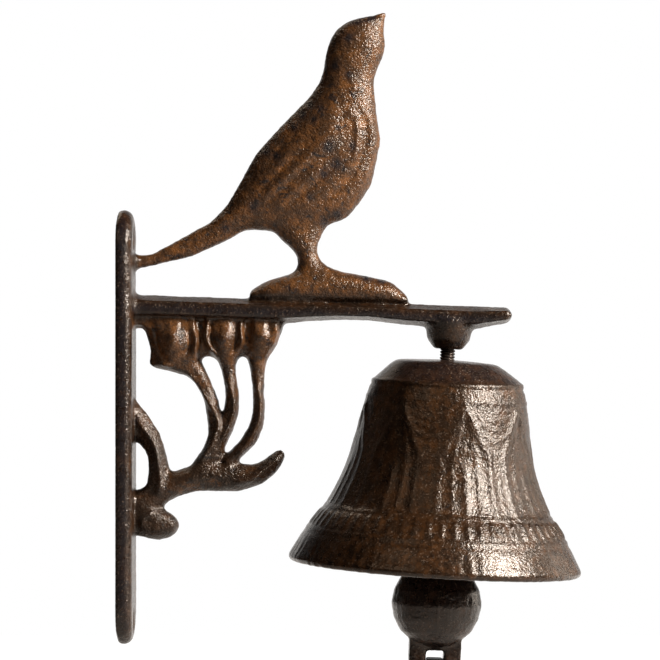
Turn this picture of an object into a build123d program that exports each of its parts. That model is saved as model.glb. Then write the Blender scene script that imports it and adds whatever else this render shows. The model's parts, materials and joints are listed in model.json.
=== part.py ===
# A cast iron bell that hangs from a wall bracket with a bird on its arm.
# Millimetres. The origin is the middle of the wall plate's back face.
# +X points away from the wall, +Z up, and Y = 0 is the plane that the casting is symmetric about.

import os
from math import cos, radians, sin

from build123d import *

# Wall plate
plate_height = 145.0
plate_width = 28.0
plate_thickness = 5.4
plate_edge_bevel = 1.8
screw_hole_diameter = 5.0
screw_sink_diameter = 8.6
screw_sink_slope = 45.0  # degrees
screw_sink_depth = 2.58
screw_spacing = 127.0
screw_middle_z = -0.8

# Arm
arm_z = 44.2  # the top of the arm where it leaves the plate
arm_reach = 131.0  # from the wall to the arm's tip
arm_depth = 15.0
arm_droop = 1.97  # degrees
arm_heights = [  # at distances from the wall
    (3.0, 8.2),
    (40.0, 8.2),
    (56.0, 8.0),
    (66.0, 6.8),
    (75.0, 6.2),
    (84.0, 6.1),
    (95.0, 7.1),
    (108.0, 7.8),
    (118.7, 7.9),
    (125.3, 6.3),
    (129.4, 5.5),
]
arm_tip_height = 2.6
scroll_drop = 9.6  # from the arm's top at the plate to the level that the scroll is set out from

# Boss under the arm's end
boss_clearance = 3.6  # from the bell's crown up to the boss
boss_height = 10.0
boss_foot_radius = 4.7
boss_shoulder_radius = 7.0
boss_shoulder_height = 3.0
boss_top_radius = 8.6
boss_flats = 24
rod_hole_depth = 11.0

# The line that the rod, the bell and the ring hang on
bell_reach = 109.7
crown_z = 22.4  # the top of the bell on that line
hang_lean = 3.5  # degrees, the lower end towards the wall
swing_lean = 2.1  # the clapper's own line below the hanging ring

# Rod with an eye
rod_radius = 2.55
rod_clearance = 0.03
rod_tip_gap = 0.5  # from the rod's top to the end of its hole in the boss
rod_foot_rise = 0.3  # the rod's end above the middle of the eye's wire
eye_wire_radius = 1.9
eye_hole_radius = 3.2
eye_drop = 1.0  # from the nut's foot to the top of the eye

# Bell: each pair is a radius and a depth below the crown
shoulder = [(19.3, 2.3), (23.4, 6.0), (25.3, 9.1)]
shoulder_ring = (26.2, 9.9)
waist = [(25.9, 11.2), (28.6, 26.0), (32.2, 39.2), (36.6, 49.0)]
band_top = (39.2, 50.4)
band_foot = (44.3, 57.4)
lip_radius = 48.7
lip_depth = 67.5
bell_height = 69.5
crown_radius = 4.5
bell_flats = 48
lip_thickness = 2.6
lip_edge_bevel = 1.0
hollow_flare = (36.2, 55.4)  # where the hollow's flare to the lip starts
hollow_top_radius = 20.5
mouth_overcut = 1.0  # how far the hollow is cut past the mouth
bell_wall = 3.3
crown_thickness = 4.0
bell_bore_clearance = 0.1

# The bell's relief
rib_count = 60
rib_height = 0.8
ring_step = 0.9  # how far the rings above and below the ribs stand out past the ground between them
drape_count = 8
drape_turn = -12.8  # degrees from the far side of +X, the first knot
drape_height = 1.0
drape_width = 2.6
drape_root = 0.5  # how far its ridges reach into the bell
knot_depth = 14.5
swag_depth = 25.0
swag = (0.3, 0.7)  # where its lowest stretch starts and ends, as shares of the way between knots
fold_spread_depth = 31.0
fold_foot_depth = 48.8
fold_half_angle = 17.0

# Nut and washer under the crown
washer_radius = 5.6
washer_thickness = 1.0
washer_flats = 24
nut_across_flats = 8.0
nut_thickness = 3.6
seat_gap = 0.05

# Hanging ring
ring_wire_radius = 1.3
ring_hole_radius = 4.6
link_gap = 0.35
ring_sides = 16
wire_sides = 6

# Clapper
bulb_radius = 15.0
bulb_drop = 57.0  # from the ring's centre to the bulb's
bulb_bands = 8
bulb_flats = 28
bulb_cap = 14.0  # degrees that the small flat at its top and foot takes
shank_root = 13.5  # its foot above the bulb's centre
shank_top_radius = 2.4
shank_foot_radius = 4.2
shank_flats = 8
foot_width = 17.4
foot_thickness = 8.0
foot_hole_width = 5.8
foot_hole_height = 4.3
foot_hole_drop = 17.7  # the hole's centre below the bulb's
foot_bevel = 0.8  # round the hole, both sides

# Pull strap
strap_width = 5.4
strap_thickness = 1.6
strap_gap = 0.12
leg_gap = 0.04
strap_spread_drop = 27.5  # where its legs start to come together, below the bulb's centre
strap_join_drop = 38.0
strap_short_drop = 47.0
strap_long_drop = 126.0
strap_bend_radius = 8.0
strap_corner_ease = 1.2  # the radius that the foot's edge gives its inside
rivet_radius = 1.2
rivet_clearance = 0.04
rivet_head_radius = 2.2
rivet_head_height = 0.9
rivet_rim_height = 0.36
rivet_crown_radius = 1.32
rivet_flats = 12
rivet_seat_gap = 0.02
rivet_drop = 42.5

os.makedirs("parts", exist_ok=True)


flat_limit = 1e-6


def faceted(rings, closed=False):
    """A solid with flat facets between rings of as many points each, with an end on the first and last."""
    pairs = list(zip(rings, rings[1:]))
    faces = []
    if closed:
        pairs.append((rings[-1], rings[0]))
    else:
        faces = [Face(Wire.make_polygon(rings[0])), Face(Wire.make_polygon(rings[-1]))]
    for near, far in pairs:
        for i in range(len(near)):
            a, b, c, d = near[i - 1], near[i], far[i], far[i - 1]
            if abs((b - a).cross(c - a).dot(d - a)) < flat_limit:
                faces.append(Face(Wire.make_polygon([a, b, c, d])))
            else:
                faces.append(Face(Wire.make_polygon([a, b, c])))
                faces.append(Face(Wire.make_polygon([a, c, d])))
    return Solid(Shell(faces))


def limb(origin_x, origin_z, stations, sides):
    """A drafted limb, as it leaves a two-part mould, through stations along its length.

    A station is the two edge points of the limb's outline, as offsets from the origin,
    and the limb's half depth there. Its section is a flattened polygon of so many sides.
    """
    turns = [radians(360 * i / sides) for i in range(sides)]
    tallest = max(sin(t) for t in turns)
    rings = []
    for x1, z1, x2, z2, half_depth in stations:
        edge = Vector(origin_x + x1, 0, origin_z + z1)
        across = Vector(x2 - x1, 0, z2 - z1)
        deep = Vector(0, half_depth / tallest, 0)
        rings.append([edge + across * (0.5 + 0.5 * cos(t)) + deep * sin(t) for t in turns])
    return faceted(rings)


def turned(origin, across, up, profile, flats, rise=0.0):
    """A turned form with flats round it, from the radii and heights of its profile.

    Every other corner stands further out by the rise, which makes ribs.
    """
    aside = up.cross(across)
    turns = [radians(360 * i / flats) for i in range(flats)]
    rings = []
    for radius, height in profile:
        reach = [radius + rise * (i % 2) for i in range(flats)]
        spokes = [(across * cos(t) + aside * sin(t)) * r for t, r in zip(turns, reach)]
        rings.append([origin + up * height + spoke for spoke in spokes])
    return faceted(rings)


# The hanging line

lean = radians(hang_lean)
crown = Vector(bell_reach, 0, crown_z)
hang_up = Vector(sin(lean), 0, cos(lean))
hang_across = Vector(cos(lean), 0, -sin(lean))


def hang_level(depth):
    """The plane square to the hanging line at a depth below the crown."""
    return Plane(origin=crown - hang_up * depth, x_dir=hang_across, z_dir=hang_up)


def wire_ring(centre, across, up, hole_radius, wire_radius):
    """A ring of wire round the centre, in the plane of across and up."""
    normal = across.cross(up)
    rings = []
    for i in range(ring_sides):
        turn = radians(360 * i / ring_sides)
        outward = across * cos(turn) + up * sin(turn)
        middle = centre + outward * (hole_radius + wire_radius)
        corners = [radians(360 * j / wire_sides) for j in range(wire_sides)]
        rings.append([middle + (outward * cos(c) + normal * sin(c)) * wire_radius for c in corners])
    return faceted(rings, closed=True)


# Bracket

arm_slope = sin(radians(arm_droop))


def arm_top(x):
    """The height of the arm's top at a distance from the wall."""
    return arm_z - arm_slope * (x - plate_thickness)


# The bird's outline stations are measured from the plate's front and the arm's top there.
bird = [
    (-2.0, 13.2, -2.0, 7.2, 2.6),
    (5.7, 13.4, 7.6, 9.8, 2.6),
    (16.3, 19.2, 19.3, 12.3, 2.9),
    (25.3, 24.2, 29.1, 16.8, 3.4),
    (30.4, 29.3, 37.6, 21.3, 4.2),
    (35.2, 37.5, 47.0, 20.8, 5.6),
    (40.7, 47.5, 59.2, 20.9, 6.9),
    (49.7, 57.5, 70.0, 25.8, 7.6),
    (57.9, 65.5, 78.1, 36.2, 7.8),
    (61.9, 71.5, 81.9, 51.5, 7.2),
    (63.2, 76.2, 80.7, 63.4, 6.4),
    (63.6, 79.5, 80.0, 71.0, 6.0),
    (64.2, 82.3, 81.6, 75.8, 6.0),
    (65.0, 84.3, 83.6, 80.2, 6.0),
    (66.4, 87.0, 83.8, 84.5, 5.7),
    (68.4, 89.2, 83.3, 88.5, 5.0),
    (71.0, 90.8, 82.8, 91.2, 3.7),
    (74.4, 92.0, 81.2, 92.8, 1.8),
]
beak = [
    (76.0, 91.0, 81.5, 87.0, 3.4),
    (78.0, 92.5, 83.4, 89.4, 2.8),
    (80.8, 93.2, 83.6, 91.3, 1.5),
    (83.3, 94.2, 84.0, 93.5, 0.5),
]
wing = [
    (64.5, 68.6, 71.0, 65.2, 6.4),
    (59.4, 64.2, 74.4, 55.4, 8.3),
    (54.2, 58.6, 72.8, 43.0, 8.9),
    (47.4, 51.5, 65.4, 33.0, 8.6),
    (41.4, 44.8, 55.4, 28.6, 7.7),
    (36.6, 36.9, 46.0, 27.0, 6.3),
    (31.6, 29.3, 37.4, 24.0, 5.1),
    (24.6, 22.8, 27.8, 19.4, 4.0),
]
leg = [
    (43.0, 27.0, 66.5, 27.0, 3.2),
    (46.9, 19.6, 62.7, 19.6, 4.3),
    (51.9, 15.4, 61.1, 15.4, 3.9),
    (54.3, 12.4, 61.7, 12.4, 3.8),
    (54.4, 9.5, 64.2, 9.5, 4.2),
    (52.8, 7.5, 70.0, 7.5, 4.8),
    (50.5, 5.0, 76.0, 5.0, 5.2),
]
mound = [
    (38.6, -3.0, 38.6, 1.4, 4.6),
    (45.0, -3.4, 45.0, 4.9, 6.6),
    (54.0, -3.6, 54.0, 7.6, 7.2),
    (66.0, -3.6, 66.0, 8.3, 7.4),
    (76.0, -3.6, 76.0, 6.6, 7.2),
    (85.5, -3.4, 85.5, 4.4, 6.4),
    (91.2, -3.2, 91.2, -0.8, 4.0),
]

# The scroll's stations are measured from the plate's front and a level just under the arm there.
web = [
    (-1.6, 4.6, -1.6, -1.8, 4.4),
    (3.2, 4.6, 3.2, -1.8, 4.4),
    (8.0, 4.4, 8.0, -9.0, 4.2),
    (16.0, 4.2, 16.0, -11.6, 4.2),
    (23.0, 4.0, 23.0, -11.7, 4.0),
    (35.0, 3.6, 35.0, -11.7, 4.0),
    (42.0, 3.3, 42.0, -11.0, 4.0),
    (47.4, 3.0, 47.4, -8.2, 4.0),
    (49.7, 2.8, 49.7, -1.6, 3.4),
]
tulips = [
    [
        (2.0, 2.6, 23.3, 2.6, 4.8),
        (3.3, -3.0, 23.2, -2.0, 5.8),
        (5.2, -9.0, 22.8, -7.3, 6.0),
        (4.7, -14.4, 22.5, -11.0, 5.2),
        (10.6, -15.9, 22.8, -12.7, 4.4),
        (16.6, -17.6, 23.2, -13.6, 3.6),
    ],
    [
        (23.3, 2.6, 37.3, 2.6, 4.8),
        (23.4, -3.6, 36.4, -3.6, 5.8),
        (24.3, -8.0, 36.4, -8.0, 6.0),
        (25.9, -10.7, 35.4, -10.7, 5.3),
        (27.6, -12.7, 34.7, -12.7, 4.3),
        (28.6, -14.8, 33.8, -14.8, 3.6),
    ],
    [
        (37.0, 2.6, 49.0, 2.6, 4.8),
        (36.8, -3.6, 48.8, -3.6, 5.8),
        (36.8, -7.3, 48.0, -7.3, 5.8),
        (37.3, -10.3, 45.9, -10.3, 5.0),
        (37.7, -12.7, 44.5, -12.7, 4.2),
        (38.4, -15.4, 43.7, -15.4, 3.6),
    ],
]
petals = [
    [(9.8, 2.0, 16.5, 2.0, 5.2), (9.4, -4.0, 17.4, -4.0, 7.4), (9.7, -9.0, 17.4, -8.6, 7.6),
     (11.2, -13.0, 16.8, -11.8, 6.2), (13.0, -14.6, 16.4, -13.4, 4.4)],
    [(18.2, 2.0, 21.0, 2.0, 5.0), (18.4, -4.0, 21.6, -4.0, 7.0), (18.8, -9.0, 21.6, -9.0, 6.8),
     (19.0, -13.0, 21.2, -12.6, 5.0)],
    [(24.0, 2.0, 25.8, 2.0, 5.0), (23.5, -3.0, 25.3, -3.0, 6.8), (24.2, -7.4, 26.1, -7.0, 6.6),
     (26.6, -11.4, 28.4, -10.6, 5.0)],
    [(27.6, 2.0, 33.4, 2.0, 5.2), (27.2, -4.0, 34.0, -4.0, 7.4), (28.2, -8.6, 33.4, -8.6, 7.0),
     (29.6, -12.4, 31.8, -12.4, 5.0)],
    [(34.8, 2.0, 36.6, 2.0, 5.0), (34.7, -4.0, 36.8, -4.0, 6.8), (34.5, -8.6, 36.2, -8.6, 6.0)],
    [(38.4, 2.0, 45.2, 2.0, 5.2), (38.4, -4.0, 45.8, -4.0, 7.2), (39.4, -7.8, 45.2, -7.8, 6.8),
     (41.0, -11.0, 44.0, -11.0, 5.0)],
    [(46.4, 2.0, 48.4, 2.0, 5.0), (46.2, -3.4, 48.3, -3.4, 6.6), (45.8, -7.0, 47.4, -7.0, 5.8)],
]
stems = [
    [
        (16.7, -17.0, 23.0, -12.7, 3.6),
        (20.5, -20.5, 25.5, -18.9, 3.5),
        (23.1, -25.3, 28.4, -25.7, 3.5),
        (24.2, -32.0, 29.3, -32.3, 3.6),
        (24.7, -36.7, 29.3, -37.3, 3.7),
        (22.5, -42.0, 27.6, -44.7, 3.9),
        (18.8, -47.3, 24.0, -51.3, 4.0),
    ],
    [
        (28.5, -14.0, 33.8, -13.6, 3.6),
        (29.7, -18.7, 34.4, -18.7, 3.4),
        (30.3, -24.0, 35.3, -24.0, 3.4),
        (29.7, -29.3, 35.1, -29.7, 3.5),
        (27.8, -34.7, 33.5, -35.0, 3.7),
        (25.0, -40.0, 31.0, -40.6, 3.9),
        (22.6, -45.0, 28.7, -46.6, 4.0),
    ],
    [
        (38.2, -14.0, 43.9, -14.0, 3.6),
        (39.0, -18.7, 43.6, -18.7, 3.4),
        (39.5, -23.7, 43.3, -23.7, 3.4),
        (39.5, -28.3, 43.8, -28.3, 3.4),
        (38.3, -33.7, 43.4, -34.0, 3.5),
        (35.3, -38.7, 40.9, -40.0, 3.6),
        (31.8, -42.4, 36.4, -44.4, 3.7),
        (28.8, -45.0, 32.6, -48.2, 3.8),
    ],
]
long_leaf = [
    (-1.6, -56.3, 4.0, -65.8, 4.2),
    (5.2, -53.4, 9.8, -61.0, 4.2),
    (11.2, -49.6, 14.7, -58.0, 4.4),
    (18.6, -47.4, 21.0, -56.2, 4.6),
    (26.0, -45.4, 27.3, -56.3, 4.8),
    (34.0, -46.5, 34.4, -56.5, 4.6),
    (40.0, -46.8, 42.4, -54.0, 4.2),
    (44.4, -44.4, 46.8, -50.8, 3.8),
    (47.3, -42.3, 49.6, -46.8, 3.0),
    (49.0, -41.8, 50.8, -43.4, 1.4),
]
side_leaf = [
    (-1.6, -36.4, -0.6, -23.8, 3.2),
    (0.2, -39.2, 4.8, -30.2, 3.4),
    (2.4, -41.2, 8.8, -36.6, 3.4),
    (4.3, -44.4, 10.9, -43.0, 3.5),
    (4.6, -48.6, 12.1, -48.4, 3.6),
    (4.0, -53.6, 12.0, -54.8, 3.8),
]
curl = [
    (-1.6, -58.8, -1.6, -70.4, 3.8),
    (3.8, -59.4, 3.8, -71.8, 4.8),
    (8.0, -60.4, 8.0, -72.6, 5.4),
    (11.4, -62.4, 11.4, -71.8, 5.0),
    (13.7, -64.2, 13.7, -70.4, 3.8),
    (14.9, -66.0, 14.9, -68.4, 1.6),
]

arm = [(x, arm_top(x), x, arm_top(x) - height, arm_depth / 2) for x, height in arm_heights]
tip_drop = (arm_heights[-1][1] - arm_tip_height) / 2
tip_z = arm_top(arm_reach) - tip_drop
arm.append((arm_reach, tip_z, arm_reach, tip_z - arm_tip_height, arm_depth / 2 - tip_drop))
foot_z = arm_z - scroll_drop

bird_limbs = ((mound, 8), (bird, 12), (beak, 8), (wing, 8), (leg, 8))
above = [limb(plate_thickness, arm_z, stations, sides) for stations, sides in bird_limbs]
scroll = (web, *tulips, *petals, *stems, long_leaf, side_leaf, curl)
below = [limb(plate_thickness, foot_z, stations, 6) for stations in scroll]

boss = [
    (boss_foot_radius, boss_clearance),
    (boss_shoulder_radius, boss_clearance + boss_shoulder_height),
    (boss_top_radius, boss_clearance + boss_height),
]

with BuildPart() as bracket:
    with BuildSketch(Plane.YZ):
        SlotOverall(plate_height, plate_width, rotation=90)
    extrude(amount=plate_thickness)
    chamfer(bracket.faces().sort_by(Axis.X)[-1].edges(), plate_edge_bevel)
    add(limb(0, 0, arm, 6))
    for piece in above + below:
        add(piece)
    add(turned(crown, hang_across, hang_up, boss, boss_flats))
    with BuildSketch(hang_level(-boss_clearance)):
        Circle(rod_radius + rod_clearance)
    extrude(amount=rod_hole_depth, mode=Mode.SUBTRACT)
    for drop in (-screw_spacing / 2, screw_spacing / 2):
        screw_place = Plane(origin=(plate_thickness, 0, screw_middle_z + drop), z_dir=(-1, 0, 0))
        with BuildSketch(screw_place):
            Circle(screw_hole_diameter / 2)
        extrude(amount=plate_thickness, mode=Mode.SUBTRACT)
        with BuildSketch(screw_place):
            Circle(screw_sink_diameter / 2)
        extrude(amount=screw_sink_depth, taper=screw_sink_slope, mode=Mode.SUBTRACT)
bracket.part.label = "bracket"
export_step(bracket.part, "parts/bracket.step")

# Bell

lip = (lip_radius, lip_depth)
outline = [(crown_radius, 0.0), *shoulder, shoulder_ring, *waist, band_top, band_foot, lip]
inside = [
    (lip_radius - lip_thickness, bell_height + mouth_overcut),
    (lip_radius - lip_thickness, bell_height),
    hollow_flare,
    (waist[2][0] - bell_wall, waist[2][1]),
    (hollow_top_radius, crown_thickness),
]


def bell_radius(depth):
    """The bell's outer radius at a depth below the crown."""
    for (r1, d1), (r2, d2) in zip(outline, outline[1:]):
        if d1 <= depth <= d2:
            return r1 + (r2 - r1) * (depth - d1) / (d2 - d1)
    return lip_radius


def on_bell(turn, depth):
    """A point of the bell's outside, by degrees round from +X and depth below the crown."""
    outward = hang_across * cos(radians(turn)) + Vector(0, 1, 0) * sin(radians(turn))
    return crown - hang_up * depth + outward * bell_radius(depth)


def ridge(route, height, width):
    """A raised line of cast relief through places (turn, depth) on the bell."""
    points = [on_bell(turn, depth) for turn, depth in route]
    rings = []
    for i, point in enumerate(points):
        along = (points[min(i + 1, len(points) - 1)] - points[max(i - 1, 0)]).normalized()
        spoke = point - (crown + hang_up * (point - crown).dot(hang_up))
        out = (spoke - along * spoke.dot(along)).normalized()
        aside = along.cross(out) * (width / 2)
        root = point - out * drape_root
        rings.append([root + aside, point + out * height, root - aside])
    return faceted(rings)


drape_step = 360 / drape_count
folds = []
for i in range(drape_count):
    knot = drape_turn + i * drape_step
    for side in (-1, 1):
        spread = knot + side * fold_half_angle
        route = [(knot, knot_depth), (spread, fold_spread_depth), (spread, fold_foot_depth)]
        folds.append(ridge(route, drape_height, drape_width))
    swag_foot = [(knot + drape_step * share, swag_depth) for share in swag]
    swag_route = [(knot, knot_depth), *swag_foot, (knot + drape_step, knot_depth)]
    folds.append(ridge(swag_route, drape_height, drape_width))


def bell_form(profile, flats, rise=0.0):
    """A turned form of the bell, from radii and depths below the crown."""
    return turned(crown, hang_across, hang_up, [(radius, -depth) for radius, depth in profile], flats, rise)


recess = 2 * ring_step  # under the ribs, to the core that carries them
body = [
    *outline[:-2],
    (band_top[0] - recess, band_top[1]),
    (band_foot[0] - recess, band_foot[1]),
    *outline[-2:],
    (lip_radius - lip_edge_bevel, bell_height),
]
ribbed_band = [(radius - ring_step, depth) for radius, depth in (band_top, band_foot)]

with BuildPart() as bell:
    add(bell_form(body, bell_flats))
    add(bell_form(ribbed_band, 2 * rib_count, rib_height))
    add(folds)
    add(bell_form(inside, bell_flats), mode=Mode.SUBTRACT)
    with BuildSketch(hang_level(crown_thickness)):
        Circle(rod_radius + bell_bore_clearance)
    extrude(amount=crown_thickness, mode=Mode.SUBTRACT)
bell.part.label = "bell"
export_step(bell.part, "parts/bell.step")

# Washer and nut

washer_depth = crown_thickness + seat_gap
nut_depth = washer_depth + washer_thickness + seat_gap
nut_foot_depth = nut_depth + nut_thickness

with BuildPart() as bell_washer:
    with BuildSketch(hang_level(washer_depth)):
        RegularPolygon(washer_radius, washer_flats)
        Circle(rod_radius + rod_clearance, mode=Mode.SUBTRACT)
    extrude(amount=-washer_thickness)
bell_washer.part.label = "bell_washer"
export_step(bell_washer.part, "parts/bell_washer.step")

with BuildPart() as bell_nut:
    with BuildSketch(hang_level(nut_depth)):
        RegularPolygon(nut_across_flats / 2, 6, major_radius=False)
        Circle(rod_radius + rod_clearance, mode=Mode.SUBTRACT)
    extrude(amount=-nut_thickness)
bell_nut.part.label = "bell_nut"
export_step(bell_nut.part, "parts/bell_nut.step")

# Rod with its eye

eye_middle_radius = eye_hole_radius + eye_wire_radius
eye_depth = nut_foot_depth + eye_drop + eye_hole_radius + 2 * eye_wire_radius
eye_centre = crown - hang_up * eye_depth
rod_foot_depth = eye_depth - eye_middle_radius - rod_foot_rise
rod_top_depth = -boss_clearance - rod_hole_depth + rod_tip_gap

with BuildPart() as eye_bolt:
    with BuildSketch(hang_level(rod_foot_depth)):
        Circle(rod_radius)
    extrude(amount=rod_foot_depth - rod_top_depth)
    add(wire_ring(eye_centre, Vector(0, 1, 0), hang_up, eye_hole_radius, eye_wire_radius))
eye_bolt.part.label = "eye_bolt"
export_step(eye_bolt.part, "parts/eye_bolt.step")

# Hanging ring

eye_to_ring = eye_middle_radius + ring_hole_radius - link_gap - eye_wire_radius
ring_centre = eye_centre - hang_up * eye_to_ring

with BuildPart() as hanging_ring:
    add(wire_ring(ring_centre, hang_across, hang_up, ring_hole_radius, ring_wire_radius))
hanging_ring.part.label = "hanging_ring"
export_step(hanging_ring.part, "parts/hanging_ring.step")

# Clapper

swing = radians(swing_lean)
swing_up = Vector(sin(swing), 0, cos(swing))
swing_across = Vector(cos(swing), 0, -sin(swing))
bulb_centre = ring_centre - swing_up * bulb_drop
swing_side = Plane(origin=bulb_centre, x_dir=swing_across, z_dir=(0, -1, 0))
clapper_eye_height = bulb_drop - eye_to_ring
clapper_eye = bulb_centre + swing_up * clapper_eye_height
bulb_turns = [radians(bulb_cap + (180 - 2 * bulb_cap) * i / bulb_bands) for i in range(bulb_bands + 1)]
bulb = [(bulb_radius * sin(t), bulb_radius * cos(t)) for t in bulb_turns]
shank = [(shank_foot_radius, shank_root), (shank_top_radius, clapper_eye_height - eye_middle_radius)]

with BuildPart() as foot:
    with BuildSketch(swing_side):
        with Locations((0, -foot_hole_drop / 2)):
            Rectangle(foot_width, foot_hole_drop)
        with Locations((0, -foot_hole_drop)):
            Circle(foot_width / 2)
            Rectangle(foot_hole_width, foot_hole_height, mode=Mode.SUBTRACT)
    extrude(amount=foot_thickness / 2, both=True)
    foot_sides = foot.faces().sort_by(Axis.Y)
    chamfer(foot_sides[0].inner_wires()[0].edges() + foot_sides[-1].inner_wires()[0].edges(), foot_bevel)

with BuildPart() as clapper:
    add(turned(bulb_centre, swing_across, swing_up, bulb, bulb_flats))
    add(foot.part)
    add(turned(bulb_centre, swing_across, swing_up, shank, shank_flats))
    add(wire_ring(clapper_eye, Vector(0, 1, 0), swing_up, eye_hole_radius, eye_wire_radius))
clapper.part.label = "clapper"
export_step(clapper.part, "parts/clapper.step")

# Pull strap, which goes through the clapper's foot and down both sides of it

strap_side = Plane(origin=bulb_centre, x_dir=(0, 1, 0), z_dir=swing_across)
hole_floor = -foot_hole_drop - foot_hole_height / 2
strap_top = hole_floor + strap_gap + strap_thickness / 2
leg_offset = foot_thickness / 2 + strap_gap + strap_thickness / 2
joined_offset = (strap_thickness + leg_gap) / 2
corner_radius = strap_corner_ease + strap_gap + strap_thickness / 2
rivet_centre = bulb_centre - swing_up * rivet_drop

with BuildPart() as pull_strap:
    with BuildSketch(strap_side):
        with BuildLine():
            FilletPolyline(
                (joined_offset, -strap_short_drop),
                (joined_offset, -strap_join_drop),
                (leg_offset, -strap_spread_drop),
                (leg_offset, strap_top),
                (-leg_offset, strap_top),
                (-leg_offset, -strap_spread_drop),
                (-joined_offset, -strap_join_drop),
                (-joined_offset, -strap_long_drop),
                radius=[strap_bend_radius, strap_bend_radius, corner_radius,
                        corner_radius, strap_bend_radius, strap_bend_radius],
            )
        trace(line_width=strap_thickness)
    extrude(amount=strap_width / 2, both=True)
    with BuildSketch(Plane(origin=rivet_centre, x_dir=swing_across, z_dir=(0, 1, 0))):
        RegularPolygon(rivet_radius + rivet_clearance, rivet_flats)
    extrude(amount=2 * strap_thickness, both=True, mode=Mode.SUBTRACT)
pull_strap.part.label = "pull_strap"
export_step(pull_strap.part, "parts/pull_strap.step")

# Rivet

head_seat = joined_offset + strap_thickness / 2 + rivet_seat_gap
rivet = [
    (rivet_radius, head_seat),
    (rivet_head_radius, head_seat),
    (rivet_head_radius, head_seat + rivet_rim_height),
    (rivet_crown_radius, head_seat + rivet_head_height),
]
rivet = [(radius, -height) for radius, height in reversed(rivet)] + rivet

with BuildPart() as strap_rivet:
    add(turned(rivet_centre, swing_across, Vector(0, 1, 0), rivet, rivet_flats))
strap_rivet.part.label = "strap_rivet"
export_step(strap_rivet.part, "parts/strap_rivet.step")
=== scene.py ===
# The looks of a cast iron bell on its bird bracket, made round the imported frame.
# Places in the frame are in metres. The tables and sizes of the forms are in millimetres.

import json
import math

import bmesh
import bpy
import numpy as np
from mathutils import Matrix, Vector, noise


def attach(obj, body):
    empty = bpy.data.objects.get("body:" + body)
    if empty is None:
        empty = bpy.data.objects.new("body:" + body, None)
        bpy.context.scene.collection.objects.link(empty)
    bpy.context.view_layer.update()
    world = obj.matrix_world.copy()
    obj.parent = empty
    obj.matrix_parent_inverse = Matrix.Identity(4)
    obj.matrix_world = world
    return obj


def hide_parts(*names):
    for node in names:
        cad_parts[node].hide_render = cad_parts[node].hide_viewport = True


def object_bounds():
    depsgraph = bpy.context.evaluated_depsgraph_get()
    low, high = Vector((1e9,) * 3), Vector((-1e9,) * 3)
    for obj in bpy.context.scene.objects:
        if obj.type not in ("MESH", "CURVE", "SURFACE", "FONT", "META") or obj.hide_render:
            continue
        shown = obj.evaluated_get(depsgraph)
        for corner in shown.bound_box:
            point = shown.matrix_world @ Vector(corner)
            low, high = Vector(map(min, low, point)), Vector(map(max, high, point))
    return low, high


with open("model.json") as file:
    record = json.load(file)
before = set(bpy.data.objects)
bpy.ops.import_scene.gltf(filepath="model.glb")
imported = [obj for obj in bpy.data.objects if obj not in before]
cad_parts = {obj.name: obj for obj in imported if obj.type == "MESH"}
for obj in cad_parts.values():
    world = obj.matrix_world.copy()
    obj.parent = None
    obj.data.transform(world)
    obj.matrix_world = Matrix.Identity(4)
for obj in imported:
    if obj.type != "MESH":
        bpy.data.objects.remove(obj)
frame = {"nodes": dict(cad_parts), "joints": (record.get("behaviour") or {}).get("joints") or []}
cad_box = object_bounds()

mm = 0.001
nodes = frame["nodes"]
joint = {each["name"]: each for each in frame["joints"]}
to_back = Vector((0, 1, 0))
crown = Vector(joint["bell_turn"]["pos_m"])
hang_up = Vector(joint["bell_turn"]["axis"]).normalized()
hang_across = to_back.cross(hang_up)
bolt_eye = Vector(joint["ring_swing"]["pos_m"])
ring_centre = Vector(joint["clapper_swing"]["pos_m"])
swing_lean = math.radians(2.1)  # how far off upright the clapper hangs
swing_up = Vector((math.sin(swing_lean), 0, math.cos(swing_lean)))
swing_across = Vector((math.cos(swing_lean), 0, -math.sin(swing_lean)))
bulb_drop = 57
bulb_centre = ring_centre - swing_up * bulb_drop * mm

# Camera

camera_x, camera_z = 0.07067, 0.03233
camera_distance = 1.045
camera_lens = 171.1

camera_data = bpy.data.cameras.new("camera")
camera_data.lens = camera_lens
camera_data.sensor_width = 36
camera = bpy.data.objects.new("camera", camera_data)
camera.location = (camera_x, -camera_distance, camera_z)
camera.rotation_euler = (math.radians(90), 0, 0)
bpy.context.scene.collection.objects.link(camera)
bpy.context.scene.camera = camera


# Shares and lines

def rise(value, start, over):
    """A share that goes from 0 at the start up to 1, over that much of the value."""
    return np.clip((value - start) / over, 0, 1)


def fall(value, end, over):
    """A share that goes from 1 down to 0 at the end, over that much of the value."""
    return np.clip((end - value) / over, 0, 1)


def hump(distance, half_width):
    """A soft round ridge's height, from 1 on its line down to 0."""
    return np.exp(-(distance / half_width) ** 2)


def full_turn(count):
    """So many angles evenly spaced round a circle."""
    return np.arange(count) * 2 * math.pi / count


def run_along(line):
    """How far along the line each of its points lies."""
    return np.concatenate([[0], np.cumsum(np.linalg.norm(np.diff(line, axis=0), axis=1))])


def directions(line):
    """The line's unit direction at each of its points."""
    slope = np.gradient(line, axis=0)
    return slope / np.linalg.norm(slope, axis=1)[:, None]


def smooth_line(points, count):
    """So many points evenly spaced on a smooth line through the given ones."""
    points = np.array(points, float)
    padded = np.vstack([2 * points[0] - points[1], points, 2 * points[-1] - points[-2]])
    fine = []
    for i in range(len(points) - 1):
        a, b, c, d = padded[i:i + 4]
        for t in np.linspace(0, 1, num=24, endpoint=False):
            fine.append(0.5 * (2 * b + (c - a) * t + (2 * a - 5 * b + 4 * c - d) * t**2
                               + (3 * b - a - 3 * c + d) * t**3))
    fine = np.array(fine + [points[-1]])
    run = run_along(fine)
    places = np.linspace(0, run[-1], count)
    return np.stack([np.interp(places, run, fine[:, k]) for k in range(points.shape[1])], axis=1)


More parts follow.
